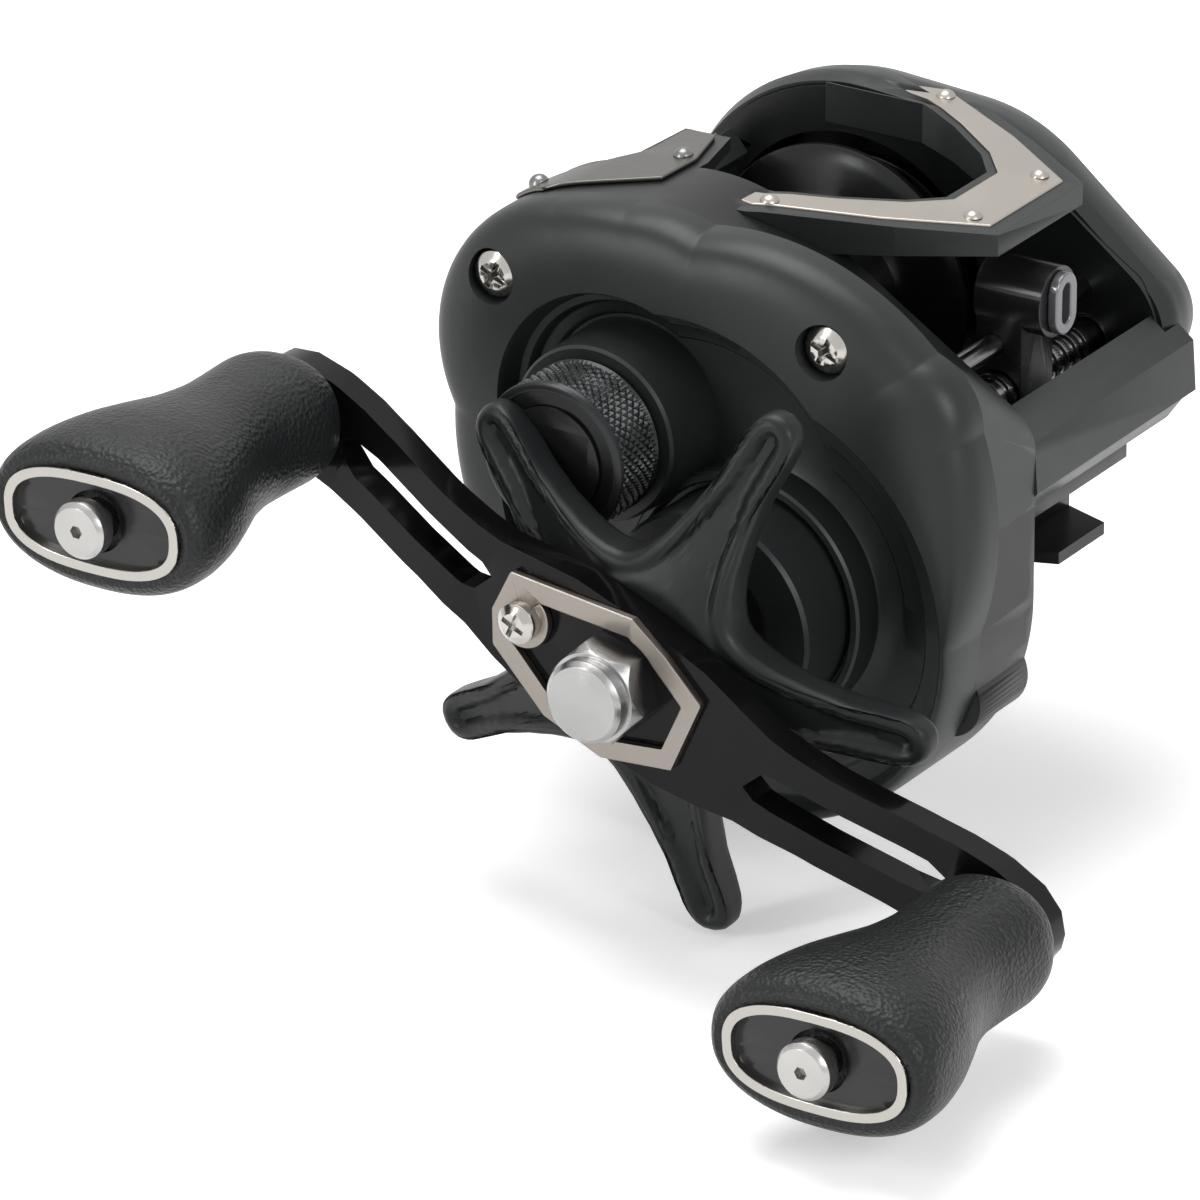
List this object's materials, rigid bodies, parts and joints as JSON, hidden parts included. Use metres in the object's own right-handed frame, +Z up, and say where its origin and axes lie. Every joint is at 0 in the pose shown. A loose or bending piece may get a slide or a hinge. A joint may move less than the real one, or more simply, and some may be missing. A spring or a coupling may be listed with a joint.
{
  "type": "baitcasting fishing reel",
  "caption": "Low-profile baitcasting fishing reel with a geared spool, double-knob handle, star drag, cast tension knob, level-wind line guide and a rod-seat foot.",
  "frame": {"origin": "on the underside of the reel foot, midway along the foot's width and straight below the spool axis", "axes": "+X along the spool axis away from the handle, -Y towards the rod tip, +Z up from the rod through the foot"},
  "size_m": [0.1151, 0.1068, 0.0683],
  "materials": {
    "black_shell": "fine speckled matt black",
    "frame_black": "black anodised",
    "black_gloss": "gloss black anodised",
    "dark_alloy": "dark anodised",
    "nickel": "satin nickel",
    "steel": "turned steel",
    "chrome": "polished",
    "brass": "machined",
    "rubber": "fine pebble grain",
    "star_grey": "satin dark grey",
    "insert_black": "gloss black",
    "carbon": "fibre washer"
  },
  "bodies": {
    "reel_frame": {"frame": "frame_black", "handle_side_cover": "black_shell", "cover_screws": "chrome", "palm_side_cover": "black_shell", "magnet_plate": "steel", "bearing_cup": "frame_black", "top_hood": "black_shell", "horseshoe_trim": "nickel", "trim_rivets": "chrome", "nose_cover": "black_shell", "foot": "black_gloss", "foot_screws": "steel", "shoulder_plate": "nickel", "shoulder_pins": "chrome", "spool_bearings": "steel", "roller_bearing": "steel", "worm_bushes": "brass", "guide_rod": "steel"},
    "handle": {"drive_shaft": "steel", "drive_gear": "brass", "wind_gear": "brass", "drag_washers": "carbon", "handle_arm": "black_gloss", "retainer_plate": "nickel", "retainer_screw": "chrome", "handle_nut": "steel", "knob_shaft_rear": "steel", "knob_shaft_front": "steel", "knob_cap_rear": "steel", "knob_cap_front": "steel"},
    "rear_grip": {"knob_body_rear": "rubber", "knob_ring_rear": "chrome", "knob_insert_rear": "insert_black"},
    "front_grip": {"knob_body_front": "rubber", "knob_ring_front": "chrome", "knob_insert_front": "insert_black"},
    "star": {"star_drag": "star_grey"},
    "spool_group": {"spool": "dark_alloy", "spool_shaft": "steel", "pinion": "brass"},
    "worm": {"worm_shaft": "steel", "worm_gear": "insert_black"},
    "carriage": {"line_guide": "insert_black", "line_guide_insert": "chrome", "pawl_cap": "brass"},
    "tension": {"tension_knob": "dark_alloy", "tension_ring": "chrome", "tension_cap": "insert_black"},
    "clutch": {"thumb_bar": "black_shell", "thumb_trim": "nickel", "clutch_plate": "steel"},
    "brake": {"brake_dial": "dark_alloy"}
  },
  "joints": [
    {"name": "handle_spin", "type": "hinge", "parent": "reel_frame", "child": "handle", "pos_m": [0, -0.0148, 0.0007], "axis": [1, 0, 0], "continuous": true},
    {"name": "rear_knob_spin", "type": "hinge", "parent": "handle", "child": "rear_grip", "pos_m": [0, 0.02631, 0.019], "axis": [1, 0, 0], "continuous": true},
    {"name": "front_knob_spin", "type": "hinge", "parent": "handle", "child": "front_grip", "pos_m": [0, -0.05591, -0.0176], "axis": [1, 0, 0], "continuous": true},
    {"name": "star_turn", "type": "hinge", "parent": "handle", "child": "star", "pos_m": [0, -0.0148, 0.0007], "axis": [1, 0, 0], "range_deg": [-180, 180]},
    {"name": "spool_spin", "type": "hinge", "parent": "reel_frame", "child": "spool_group", "pos_m": [0, 0, 0.0168], "axis": [1, 0, 0], "continuous": true},
    {"name": "worm_spin", "type": "hinge", "parent": "reel_frame", "child": "worm", "pos_m": [0, -0.028, 0.0163], "axis": [1, 0, 0], "continuous": true},
    {"name": "line_guide_slide", "type": "slide", "parent": "reel_frame", "child": "carriage", "axis": [1, 0, 0], "range_m": [-0.0085, 0.0085]},
    {"name": "tension_turn", "type": "hinge", "parent": "reel_frame", "child": "tension", "pos_m": [0, 0, 0.0168], "axis": [1, 0, 0], "range_deg": [-180, 180]},
    {"name": "clutch_press", "type": "slide", "parent": "reel_frame", "child": "clutch", "axis": [0, 0.766, -0.6428], "range_m": [0, 0.002]},
    {"name": "brake_turn", "type": "hinge", "parent": "reel_frame", "child": "brake", "pos_m": [0, -0.002, 0.0158], "axis": [1, 0, 0], "range_deg": [0, 170]}
  ],
  "couplings": [
    {"joint": "spool_spin", "follows": "handle_spin", "ratio": -7.5},
    {"joint": "worm_spin", "follows": "handle_spin", "ratio": -2}
  ]
}
